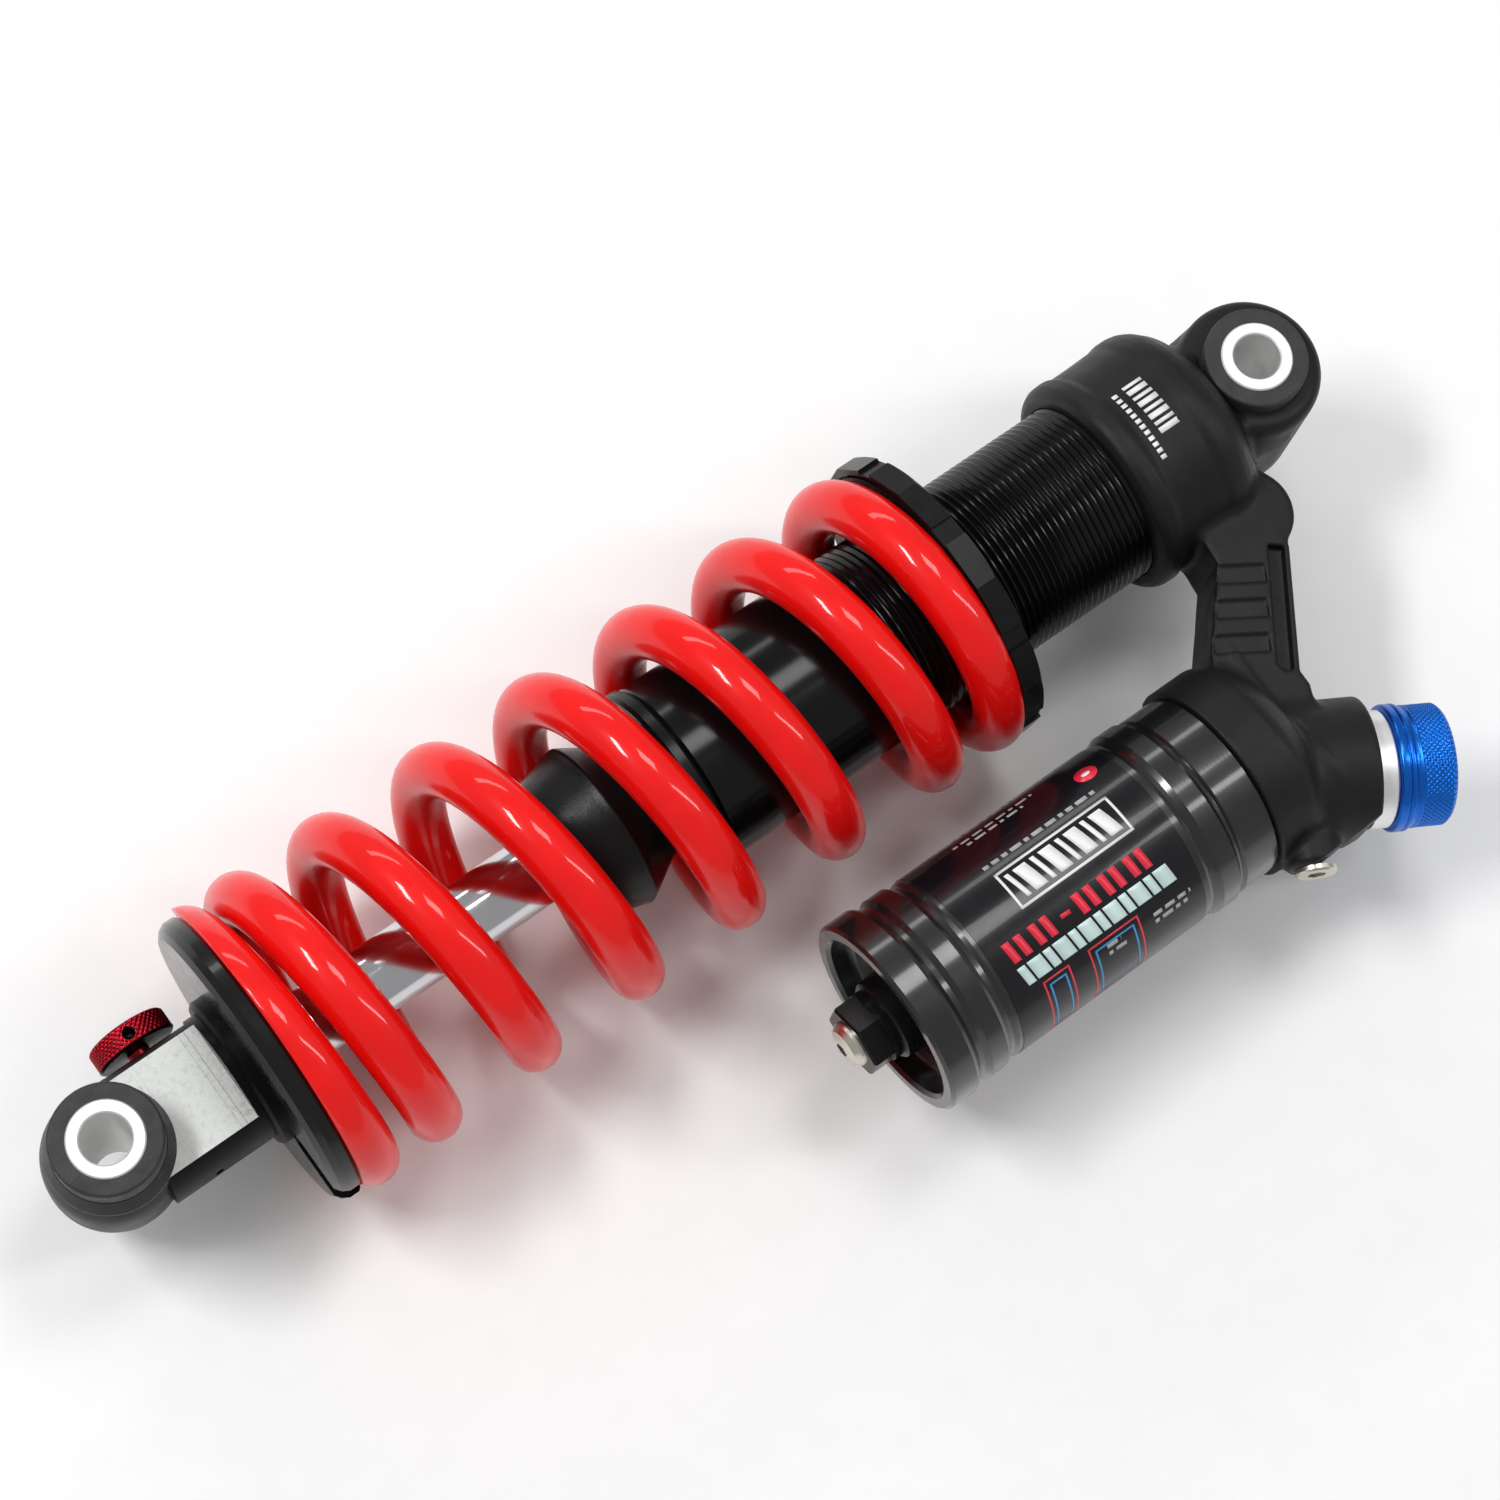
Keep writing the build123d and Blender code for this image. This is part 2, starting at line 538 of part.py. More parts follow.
valve_back = Plane(origin=(-123, RES_Y, 0), x_dir=(0, 0, 1), z_dir=(-1, 0, 0))
with BuildPart() as gas_valve:
    with BuildSketch(valve_back):
        Circle(6.5)
    extrude(amount=1.8)
    with BuildSketch(valve_back.offset(1.8)):
        RegularPolygon(6.9, 6)
    extrude(amount=4.4)
    chamfer(gas_valve.faces().sort_by(Axis.X)[0].edges(), 0.4)
    with BuildSketch(valve_back):
        Circle(3.18)
    extrude(amount=-6)
    with BuildSketch(valve_back.offset(6.2)):
        Circle(2.0)
    extrude(amount=-12.2, mode=Mode.SUBTRACT)
finish(gas_valve, "gas_valve")

with BuildPart() as valve_screw:
    dome = [(-124, 0), (-124, 1.98), (-129.2, 1.98), (-129.2, 4.3), (-129.8, 4.2), (-130.8, 3.4)]
    dome += [(-131.3, 2.0), (-131.4, 0)]
    revolve(outline(dome, reservoir_side), axis=reservoir_axis)
    with BuildSketch(valve_back.offset(8.5)):
        RegularPolygon(1.45, 6)
    extrude(amount=-2, mode=Mode.SUBTRACT)
finish(valve_screw, "valve_screw")

LABEL_THICK = 0.12
with BuildPart() as reservoir_label:
    revolve(tube_outline(-106.4, -66.4, RES_R, RES_R + LABEL_THICK, reservoir_side),
            axis=reservoir_axis, revolution_arc=230)
finish(reservoir_label, "reservoir_label")


# ---------------------------------------------------------------- compression adjuster and bleed screw
def adjuster_ring(name, points):
    """A turned piece on the compression adjuster's axis."""
    with BuildPart() as ring:
        revolve(outline(points, adjuster_side), axis=adjuster_axis)
    finish(ring, name)


RING_END = 30.9
cartridge = [(15, 2.6), (15, 9.0), (ADJ_LENGTH, 9.0), (ADJ_LENGTH, 10.4), (RING_END - 0.4, 10.4)]
cartridge += [(RING_END, 10.0), (RING_END, 2.6)]
adjuster_ring("adjuster_body", cartridge)

KNOB_BASE = 31.0
knob = [(KNOB_BASE, 2.6), (KNOB_BASE, 11.0), (31.4, 11.3), (33.4, 11.3), (33.9, 10.6), (34.6, 10.6)]
knob += [(35.0, 10.9), (40.5, 10.9), (41.3, 10.1), (41.3, 0), (38.8, 0), (38.8, 2.6)]
adjuster_ring("compression_knob", knob)
needle = [(4.0, 0), (7.4, 1.9), (16.9, 1.9), (17.5, 2.56), (36.4, 2.56), (36.4, 0)]
adjuster_ring("compression_needle", needle)

finish(socket_screw(bleed_plane.offset(BLEED_END), 3.7, 1.1, 1.7), "bleed_screw")
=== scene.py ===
import json
import math

import bmesh
import bpy
import numpy as np
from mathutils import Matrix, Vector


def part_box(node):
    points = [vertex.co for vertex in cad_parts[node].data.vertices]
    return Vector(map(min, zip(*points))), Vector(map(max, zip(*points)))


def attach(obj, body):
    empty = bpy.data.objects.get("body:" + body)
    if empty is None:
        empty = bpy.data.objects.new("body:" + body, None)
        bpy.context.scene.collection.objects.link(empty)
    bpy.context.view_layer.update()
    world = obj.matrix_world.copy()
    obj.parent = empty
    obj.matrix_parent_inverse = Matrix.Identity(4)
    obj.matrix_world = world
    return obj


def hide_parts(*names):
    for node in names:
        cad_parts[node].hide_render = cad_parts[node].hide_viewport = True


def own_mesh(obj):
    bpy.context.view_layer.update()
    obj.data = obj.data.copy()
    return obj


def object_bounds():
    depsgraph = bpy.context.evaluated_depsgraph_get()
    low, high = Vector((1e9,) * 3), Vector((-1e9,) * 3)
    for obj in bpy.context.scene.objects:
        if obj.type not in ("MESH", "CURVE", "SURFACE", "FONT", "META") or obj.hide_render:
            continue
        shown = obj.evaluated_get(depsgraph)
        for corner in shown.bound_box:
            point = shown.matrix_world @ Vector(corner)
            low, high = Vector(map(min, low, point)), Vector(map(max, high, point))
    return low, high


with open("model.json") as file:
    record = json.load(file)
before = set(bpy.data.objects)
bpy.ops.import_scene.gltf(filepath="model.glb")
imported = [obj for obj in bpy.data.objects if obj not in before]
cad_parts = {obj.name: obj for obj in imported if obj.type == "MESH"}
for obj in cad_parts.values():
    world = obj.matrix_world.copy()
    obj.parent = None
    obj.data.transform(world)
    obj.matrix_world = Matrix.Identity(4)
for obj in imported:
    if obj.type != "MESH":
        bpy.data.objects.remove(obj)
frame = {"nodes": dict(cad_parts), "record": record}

import openvdb
from mathutils import Matrix, Vector

cad_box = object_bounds()
nodes = frame["nodes"]
scene = bpy.context.scene
MM = 0.001


# ---------------------------------------------------------------- camera, floor and light
def add(obj):
    """Put a new object in the scene."""
    scene.collection.objects.link(obj)
    return obj


def aim(location, right, down, forward):
    """Matrix of a camera or lamp at a place, from its picture directions."""
    columns = [Vector(right), -Vector(down), -Vector(forward)]
    turn = Matrix([[c[row] for c in columns] for row in range(3)])
    return Matrix.Translation(Vector(location)) @ turn.to_4x4()


camera_data = bpy.data.cameras.new("camera")
camera_data.sensor_width = 36.0
camera_data.lens = 84.4
camera_data.clip_start = 0.01
camera = add(bpy.data.objects.new("camera", camera_data))
camera.matrix_world = aim(
    (-0.26812, -0.11163, 0.57527),
    (0.797734, -0.593902, 0.104409),
    (-0.545524, -0.784565, -0.294722),
    (0.256951, 0.178152, -0.949862),
)
scene.camera = camera


def softbox(name, place, target, size, power):
    """A white studio lamp of some width and height in metres, pointing at a target."""
    data = bpy.data.lights.new(name, "AREA")
    data.shape = "RECTANGLE"
    data.size, data.size_y = size
    data.energy = power
    lamp = add(bpy.data.objects.new(name, data))
    direction = Vector(target) - Vector(place)
    lamp.rotation_euler = direction.to_track_quat("-Z", "Y").to_euler()
    lamp.location = place


middle = (cad_box[0] + cad_box[1]) / 2
softbox("key", (-0.55, 0.35, 0.80), middle, (0.34, 0.13), 4.4)
softbox("overhead", middle + Vector((0.21, 0.14, 0.76)), middle, (0.22, 0.22), 1.3)
softbox("fill", (0.45, -0.35, 0.75), middle, (0.10, 0.60), 1.9)
softbox("back", (0.10, 0.85, 0.50), middle, (0.80, 0.10), 1.4)

world = bpy.data.worlds.new("studio")
scene.world = world
world.use_nodes = True
background = world.node_tree.nodes["Background"]
background.inputs["Color"].default_value = (1, 1, 1, 1)
background.inputs["Strength"].default_value = 0.40
scene.view_settings.view_transform = "Standard"
scene.view_settings.look = "None"


# ---------------------------------------------------------------- materials
NOISE_SPAN = (0.3, 0.7)  # the values between which most of a noise texture lies
WAVE_PER_LINE = 2 * math.pi / 20  # wave scale for one line per metre
RING_DEPTH = 0.00002


def surface(name, color, rough, metallic=0.0, coat=0.0, vary=0.12, patch=120.0, grain=(), rings=(),
            coat_rough=0.06, specular=0.5):
    """A procedural finish: colour and roughness that drift, fine grain and turning marks as bump.

    rough is (lowest, highest); vary is the share by which the colour drifts, over patches of a noise
    scale; grain is (noise scale, bump strength, depth in metres); rings is (axis, lines per metre,
    bump strength)."""
    mat = bpy.data.materials.new(name)
    mat.use_nodes = True
    tree = mat.node_tree
    shader = tree.nodes["Principled BSDF"]
    shader.inputs["Metallic"].default_value = metallic
    shader.inputs["Coat Weight"].default_value = coat
    shader.inputs["Coat Roughness"].default_value = coat_rough
    shader.inputs["Specular IOR Level"].default_value = specular
    place = tree.nodes.new("ShaderNodeTexCoord").outputs["Object"]

    def noise(scale, detail):
        node = tree.nodes.new("ShaderNodeTexNoise")
        node.inputs["Scale"].default_value = scale
        node.inputs["Detail"].default_value = detail
        tree.links.new(place, node.inputs["Vector"])
        return node.outputs["Fac"]

    def bumped(height, strength, depth, below=None):
        bump = tree.nodes.new("ShaderNodeBump")
        bump.inputs["Strength"].default_value = strength
        bump.inputs["Distance"].default_value = depth
        tree.links.new(height, bump.inputs["Height"])
        if below:
            tree.links.new(below, bump.inputs["Normal"])
        return bump.outputs["Normal"]

    ramp = tree.nodes.new("ShaderNodeValToRGB")
    for stop, position, share in zip(ramp.color_ramp.elements, NOISE_SPAN, (1 - vary, 1 + vary)):
        stop.position = position
        stop.color = [min(1.0, c * share) for c in color] + [1]
    tree.links.new(noise(patch, 4.0), ramp.inputs["Fac"])
    tree.links.new(ramp.outputs["Color"], shader.inputs["Base Color"])
    spread = tree.nodes.new("ShaderNodeMapRange")
    for socket, value in zip(("From Min", "From Max", "To Min", "To Max"), NOISE_SPAN + rough):
        spread.inputs[socket].default_value = value
    tree.links.new(noise(patch * 2.5, 3.0), spread.inputs["Value"])
    tree.links.new(spread.outputs["Result"], shader.inputs["Roughness"])
    normal = None
    if grain:
        normal = bumped(noise(grain[0], 3.0), *grain[1:])
    if rings:
        axis, lines, strength = rings
        wave = tree.nodes.new("ShaderNodeTexWave")
        if axis.startswith("along"):
            wave.wave_type = "BANDS"
            wave.bands_direction = axis[-1]
        else:
            wave.wave_type = "RINGS"
            wave.rings_direction = axis[-1]
        wave.inputs["Scale"].default_value = lines * WAVE_PER_LINE
        wave.inputs["Distortion"].default_value = 0.6
        wave.inputs["Detail"].default_value = 1.0
        tree.links.new(place, wave.inputs["Vector"])
        normal = bumped(wave.outputs["Fac"], strength, RING_DEPTH, normal)
    if normal:
        tree.links.new(normal, shader.inputs["Normal"])
        if coat and not grain:
            tree.links.new(normal, shader.inputs["Coat Normal"])
    return mat


cast = surface("cast_black", (0.009, 0.009, 0.0095), (0.40, 0.50), vary=0.2, grain=(3800, 0.35, 0.00012),
               specular=0.22)
satin = surface("satin_black", (0.005, 0.005, 0.0055), (0.22, 0.30), rings=("along X", 1600, 0.05),
                specular=0.2)
eye_black = surface("eye_black", (0.0035, 0.0035, 0.004), (0.30, 0.38), vary=0.1, specular=0.10)


MILLED_HEIGHT = 7.7 * MM
MILLED_END = -217.4 * MM
MILLED_SPAN = (0.35, 0.65)
CUTTER_LINES = ((-219.6, 0.45), (-220.7, 0.25), (-229.5, 0.12), (-230.3, 0.12))  # (X in mm, how dark)
CUTTER_LINE_HALF = 0.07 * MM
FLAT_DEPTH = 0.02 * MM


def mill(mat):
    """Show bare milled metal on the two flats at a height above and below the axis, left of one X."""
    tree = mat.node_tree
    links = tree.links
    black = tree.nodes["Principled BSDF"]
    bare = tree.nodes.new("ShaderNodeBsdfPrincipled")
    bare.inputs["Metallic"].default_value = 0.9
    place = tree.nodes.new("ShaderNodeTexCoord").outputs["Object"]
    split = tree.nodes.new("ShaderNodeSeparateXYZ")
    links.new(place, split.inputs["Vector"])

    def maths(kind, a, b):
        node = tree.nodes.new("ShaderNodeMath")
        node.operation = kind
        for socket, value in zip(node.inputs, (a, b)):
            if isinstance(value, (int, float)):
                socket.default_value = value
            else:
                links.new(value, socket)
        return node.outputs["Value"]

    grain = tree.nodes.new("ShaderNodeTexNoise")
    grain.inputs["Scale"].default_value = 1100
    grain.inputs["Detail"].default_value = 6.0
    grain.inputs["Roughness"].default_value = 0.7
    links.new(place, grain.inputs["Vector"])
    spread = tree.nodes.new("ShaderNodeMapRange")
    for socket, value in zip(("From Min", "From Max", "To Min", "To Max"), MILLED_SPAN + (0.40, 0.72)):
        spread.inputs[socket].default_value = value
    links.new(grain.outputs["Fac"], spread.inputs["Value"])
    tone = spread.outputs["Result"]
    links.new(tone, bare.inputs["Roughness"])
    colour = tree.nodes.new("ShaderNodeCombineColor")
    for channel, share in zip(("Red", "Green", "Blue"), (1.0, 1.02, 0.99)):
        shade = maths("MULTIPLY", maths("ADD", maths("MULTIPLY", tone, 0.9), 0.06), share)
        for line, dark in CUTTER_LINES:
            off = maths("ABSOLUTE", maths("SUBTRACT", split.outputs["X"], line * MM), 0)
            near = maths("LESS_THAN", off, CUTTER_LINE_HALF)
            shade = maths("MULTIPLY", shade, maths("SUBTRACT", 1.0, maths("MULTIPLY", near, dark)))
        links.new(shade, colour.inputs[channel])
    links.new(colour.outputs["Color"], bare.inputs["Base Color"])
    level = maths("ABSOLUTE", split.outputs["Z"], 0)
    above = maths("ABSOLUTE", maths("SUBTRACT", level, MILLED_HEIGHT), 0)
    on_flat = maths("LESS_THAN", above, FLAT_DEPTH)
    mask = maths("MULTIPLY", on_flat, maths("LESS_THAN", split.outputs["X"], MILLED_END))
    mix = tree.nodes.new("ShaderNodeMixShader")
    links.new(mask, mix.inputs["Fac"])
    links.new(black.outputs["BSDF"], mix.inputs[1])
    links.new(bare.outputs["BSDF"], mix.inputs[2])
    links.new(mix.outputs["Shader"], tree.nodes["Material Output"].inputs["Surface"])


mill(eye_black)
gloss = surface("gloss_black", (0.006, 0.006, 0.0065), (0.28, 0.36), coat=0.8, coat_rough=0.12,
                rings=("along X", 1200, 0.05), specular=0.35)
perch_black = surface("perch_black", (0.004, 0.004, 0.0045), (0.20, 0.28), coat=0.3, coat_rough=0.08,
                      rings=("along X", 1200, 0.05), specular=0.2)
thread_black = surface("thread_black", (0.003, 0.003, 0.0035), (0.16, 0.19), vary=0.1, patch=60,
                       rings=("along X", 1600, 0.03), specular=0.25)
bush = surface("bush_polymer", (0.020, 0.020, 0.022), (0.5, 0.7), grain=(2600, 0.8, 0.00015), vary=0.3)
alu = surface("turned_aluminium", (0.90, 0.90, 0.89), (0.34, 0.44), metallic=0.75, vary=0.03,
              rings=("round Z", 1800, 0.10))
chrome = surface("chrome", (0.66, 0.66, 0.68), (0.09, 0.13), metallic=1.0, vary=0.03,
                 rings=("along X", 1500, 0.02))
red_paint = surface("red_powder_coat", (0.80, 0.004, 0.003), (0.34, 0.42), coat=0.6, vary=0.05,
                    grain=(260, 0.10, 0.0004), coat_rough=0.04, specular=0.12)
red_metal = surface("red_anodised", (0.34, 0.005, 0.014), (0.22, 0.32), metallic=0.85, vary=0.1)
blue_metal = surface("blue_anodised", (0.008, 0.14, 0.62), (0.2, 0.3), metallic=0.85, vary=0.08)
zinc = surface("zinc_plate", (0.62, 0.60, 0.52), (0.25, 0.36), metallic=1.0, vary=0.1,
               grain=(3000, 0.1, 0.00005))
steel = surface("ground_steel", (0.55, 0.55, 0.56), (0.25, 0.4), metallic=1.0,
                rings=("along X", 3000, 0.2))
rubber = surface("rubber", (0.003, 0.003, 0.0035), (0.30, 0.40), grain=(1800, 0.3, 0.0001), vary=0.2,
                 specular=0.25)
bronze = surface("bronze", (0.55, 0.40, 0.20), (0.3, 0.4), metallic=1.0, grain=(2500, 0.2, 0.00006))
film = surface("label_film", (0.006, 0.005, 0.007), (0.20, 0.26), coat=0.25,
               grain=(300, 0.03, 0.0002), specular=0.25)
INKS = {
    "white": ((0.78, 0.80, 0.78), 0.06), "grey": ((0.36, 0.37, 0.37), 0.15),
    "red": ((0.72, 0.02, 0.05), 0.08), "teal": ((0.58, 0.74, 0.72), 0.08),
    "blue": ((0.03, 0.28, 0.62), 0.08),
}
ink = {
    name: surface("ink_" + name, color, (0.3, 0.4), vary=vary, grain=(2500, 0.2, 0.00003))
    for name, (color, vary) in INKS.items()
}

FINISH = {
    "body_head": cast, "shaft_eye": eye_black, "lower_perch": perch_black, "shaft": chrome,
    "body_eye_bush_upper": bush, "body_eye_bush_lower": bush,
    "shaft_eye_bush_upper": bush, "shaft_eye_bush_lower": bush,
    "body_eye_sleeve": alu, "shaft_eye_sleeve": alu,
    "top_out_bumper": rubber, "wiper_seal": rubber, "seal_head_ring": rubber,
    "floating_piston_seal": rubber, "bump_stop": rubber,
    "rebound_shims": steel, "compression_shims": steel, "piston_nut": steel, "rebound_rod": steel,
    "piston": alu, "piston_band": bronze, "seal_head_bush": bronze,
    "rebound_knob": red_metal, "rebound_knob_screw": steel,
    "damper_tube": thread_black, "seal_head": satin, "coil_spring": red_paint, "spring_seat": satin,
    "preload_collar": satin, "reservoir_can": gloss, "retaining_ring": steel,
    "reservoir_end_cap": satin, "floating_piston": alu, "gas_valve": satin, "valve_screw": zinc,
    "reservoir_label": film, "adjuster_body": alu, "compression_knob": blue_metal,
    "compression_needle": steel, "bleed_screw": zinc,
}


def paint(obj, mat):
    """Give an object one finish."""
    if obj.data.materials:
        for index in range(len(obj.data.materials)):
            obj.data.materials[index] = mat
    else:
        obj.data.materials.append(mat)


for node_name, mat in FINISH.items():
    paint(nodes[node_name], mat)


# ---------------------------------------------------------------- mesh helpers
def piece(name, work, body, mat, stands_for=()):
    """Make a mesh object from a filled bmesh, give it a finish and let it ride on a body."""
    mesh = bpy.data.meshes.new(name)
    work.to_mesh(mesh)
    work.free()
    mesh.shade_smooth()
    obj = add(bpy.data.objects.new(name, mesh))
    paint(obj, mat)
    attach(obj, body)
    if stands_for:
        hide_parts(*stands_for)
    return obj


def soften(profile, radius, steps=5):
    """Round every inner corner of a profile; each point may carry its own radius."""
    rounded = [profile[0][:2]]
    for before, corner, after in zip(profile, profile[1:], profile[2:]):
        here = Vector(corner[:2])
        back = Vector(before[:2]) - here
        forth = Vector(after[:2]) - here
        reach = min(corner[2] if len(corner) > 2 else radius, back.length * 0.45, forth.length * 0.45)
        start = here + back.normalized() * reach
        end = here + forth.normalized() * reach
        for step in range(steps + 1):
            t = step / steps
            spot = start * (1 - t) ** 2 + here * 2 * t * (1 - t) + end * t * t
            rounded.append((spot.x, spot.y))
    rounded.append(profile[-1][:2])
    return rounded


def lathe(profile, origin, axis, side, count=128, ripple=None):
    """A turned mesh from (distance along the axis, radius) in mm.

    A profile that starts off the axis is closed on itself. ripple gives a change of radius in mm at a
    distance and an angle."""
    work = bmesh.new()
    axis = Vector(axis).normalized()
    side = Vector(side).normalized()
    other = axis.cross(side)
    rings = []
    for along, radius in profile:
        hub = Vector(origin) + axis * along * MM
        if radius < 1e-6:
            rings.append([work.verts.new(hub)])
            continue
        ring = []
        for k in range(count):
            angle = 2 * math.pi * k / count
            far = radius + (ripple(along, angle) if ripple else 0.0)
            spoke = side * math.cos(angle) + other * math.sin(angle)
            ring.append(work.verts.new(hub + spoke * far * MM))
        rings.append(ring)
    pairs = list(zip(rings, rings[1:]))
    if len(rings[0]) > 1:
        pairs.append((rings[-1], rings[0]))
    for low, high in pairs:
        for k in range(count):
            after = (k + 1) % count
            if len(low) == 1 and len(high) > 1:
                work.faces.new((low[0], high[after], high[k]))
            elif len(high) == 1 and len(low) > 1:
                work.faces.new((low[k], low[after], high[0]))
            elif len(low) > 1:
                work.faces.new((low[k], low[after], high[after], high[k]))
    bmesh.ops.recalc_face_normals(work, faces=work.faces[:])
    return work


def grind(work, point, normal):
    """Cut a mesh with a plane, drop what is in front of the normal and close the cut."""
    everything = work.verts[:] + work.edges[:] + work.faces[:]
    done = bmesh.ops.bisect_plane(
        work, geom=everything, plane_co=point, plane_no=normal, clear_outer=True
    )
    rim = [e for e in done["geom_cut"] if isinstance(e, bmesh.types.BMEdge)]
    bmesh.ops.triangle_fill(work, edges=rim, use_beauty=True)
    bmesh.ops.recalc_face_normals(work, faces=work.faces[:])


def drill(work, start, radius, length):
    """Cut a round hole upward into a mesh from a start point."""
    tool_mesh = bpy.data.meshes.new("drill")
    tool = bmesh.new()
    place = Matrix.Translation(Vector(start) + Vector((0, 0, length / 2)))
    bmesh.ops.create_cone(
        tool, cap_ends=True, segments=40, radius1=radius, radius2=radius, depth=length, matrix=place
    )
    tool.to_mesh(tool_mesh)
    tool.free()
    solid_mesh = bpy.data.meshes.new("drilled")
    work.to_mesh(solid_mesh)
    work.clear()
    tool_obj = add(bpy.data.objects.new("drill", tool_mesh))
    solid = add(bpy.data.objects.new("drilled", solid_mesh))
    cut = solid.modifiers.new("hole", "BOOLEAN")
    cut.operation = "DIFFERENCE"
    cut.solver = "EXACT"
    cut.object = tool_obj
    bpy.context.view_layer.update()
    result = solid.evaluated_get(bpy.context.evaluated_depsgraph_get())
    work.from_mesh(result.to_mesh())
    result.to_mesh_clear()
    bpy.data.objects.remove(solid)
    bpy.data.objects.remove(tool_obj)
    bpy.data.meshes.remove(solid_mesh)
    bpy.data.meshes.remove(tool_mesh)


# ---------------------------------------------------------------- solid fields for the castings
class Field:
    """A block of space in mm on which distances to simple solids are measured."""

    def __init__(self, low, high, step):
        self.low = np.array(low, dtype=np.float32)
        self.step = step
        counts = [int(math.ceil((b - a) / step)) + 1 for a, b in zip(low, high)]
        axes = [a + step * np.arange(n, dtype=np.float32) for a, n in zip(low, counts)]
        self.x = axes[0][:, None, None]
        self.y = axes[1][None, :, None]
        self.z = axes[2][None, None, :]

    def local(self, origin, along, out):
        """Coordinates along an axis and the distance from it."""
        up = np.cross(along, out)
        dx, dy, dz = self.x - origin[0], self.y - origin[1], self.z - origin[2]
        s = dx * along[0] + dy * along[1] + dz * along[2]
        u = dx * out[0] + dy * out[1] + dz * out[2]
        w = dx * up[0] + dy * up[1] + dz * up[2]
        return s, np.sqrt(u * u + w * w)

    def drum(self, origin, along, out, start, end, radius, edge):
        """A round bar between two distances along an axis, with rounded edges."""
        s, far = self.local(origin, along, out)
        return corner(far - radius, abs(s - (start + end) / 2) - (end - start) / 2, edge)

    def turned(self, origin, along, out, profile):
        """A turned solid whose radius follows a profile of (distance, radius)."""
        s, far = self.local(origin, along, out)
        places = [p[0] for p in profile]
        radii = [p[1] for p in profile]
        edge = np.interp(s, places, radii).astype(np.float32)
        slope = np.gradient(np.array(radii), np.array(places))
        lean = np.interp(s, places, 1 / np.sqrt(1 + np.minimum(slope, 4) ** 2)).astype(np.float32)
        return np.maximum((far - edge) * lean, np.maximum(places[0] - s, s - places[-1]))

    def mesh(self, distance):
        """The closed surface where the distance is zero."""
        grid = openvdb.FloatGrid(float(3 * self.step))
        grid.copyFromArray(np.clip(distance, -3 * self.step, 3 * self.step).astype(np.float32))
        points, triangles, quads = grid.convertToPolygons(isovalue=0.0, adaptivity=0.0)
        places = (points * self.step + self.low) * MM
        work = bmesh.new()
        verts = [work.verts.new(place) for place in places]
        for face in list(triangles) + list(quads):
            work.faces.new([verts[i] for i in face])
        bmesh.ops.recalc_face_normals(work, faces=work.faces[:])
        return work


def corner(a, b, edge):
    """Meeting of two slabs with a rounded edge."""
    outside = np.sqrt(np.maximum(a + edge, 0) ** 2 + np.maximum(b + edge, 0) ** 2)
    return outside + np.minimum(np.maximum(a + edge, b + edge), 0) - edge


def blend_in(a, b, reach):
    """Union with a soft fillet."""
    h = np.maximum(reach - abs(a - b), 0) / reach
    return np.minimum(a, b) - h * h * reach / 4


def polygon(x, y, points):
    """Signed distance to a closed polygon in the plane."""
    best = np.full(np.broadcast(x, y).shape, 1e9, dtype=np.float32)
    inside = np.zeros(best.shape, dtype=bool)
    for (ax, ay), (bx, by) in zip(points, points[1:] + points[:1]):
        ex, ey = bx - ax, by - ay
        px, py = x - ax, y - ay
        t = np.clip((px * ex + py * ey) / (ex * ex + ey * ey), 0, 1)
        best = np.minimum(best, (px - ex * t) ** 2 + (py - ey * t) ** 2)
        crosses = (ay > y) != (by > y)
        with np.errstate(divide="ignore", invalid="ignore"):
            left = x < (bx - ax) * (y - ay) / (by - ay if by != ay else 1e-9) + ax
        inside ^= crosses & left
    best = np.sqrt(best)
    return np.where(inside, -best, best)


X_DIR = np.array((1.0, 0.0, 0.0))
Y_DIR = np.array((0.0, 1.0, 0.0))
Z_DIR = np.array((0.0, 0.0, 1.0))
joints = {j["name"]: j for j in frame["record"]["behaviour"]["joints"]}
can_low, can_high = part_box("reservoir_can")
RES_Y = (can_low.y + can_high.y) / 2 / MM
ADJ_DIR = -np.array(joints["compression_turn"]["axis"])
ADJ_OUT = np.array((ADJ_DIR[1], -ADJ_DIR[0], 0.0))
ADJ_ROOT = np.array(joints["compression_turn"]["pos_m"]) / MM - 36.0 * ADJ_DIR

# ---------------------------------------------------------------- cast body head
ARM_OUTLINE = [
    (-27, -12), (-26.0, -19), (-26.8, -25.0), (-31.7, -30.4), (-38.2, -37.3), (-42, -44), (-42, -58),
    (-29.2, -58), (-28.0, -53.9), (-26.9, -51.5), (-26.8, -48.6), (-13.8, -29.7), (-9, -14),
]
CHANNEL_OUTLINE = [(-16.9, -27.2), (-29.5, -45.3), (-29.2, -47.1), (-27.7, -47.8), (-14.7, -29.1)]
CAP_PROFILE = [
    (-34, 19.0), (-33.2, 20.3), (-32.1, 20.9), (-30, 21.0), (-28.6, 20.5), (-24.4, 20.55), (-19, 20.75),
    (-17.4, 21.15), (-15.6, 21.15), (-14.3, 20.9), (-13, 20.3), (-11, 18.7), (-9.5, 16.4), (-8.2, 13.8),
    (-7.2, 9.8),
]
DOME_PROFILE = [
    (-50, 18.95), (-42.4, 18.95), (-41.6, 18.8), (-40.4, 18.1), (-39, 16.9), (-37.6, 15.4), (-36.6, 13.8),
    (-36.0, 12.3), (-35.4, 9.0), (-35.2, 7.0),
]
BAND_TILT = math.radians(-31.6)
BLEED_ROOT = ADJ_ROOT + 15.1 * ADJ_DIR + (0, 0, 2.6)


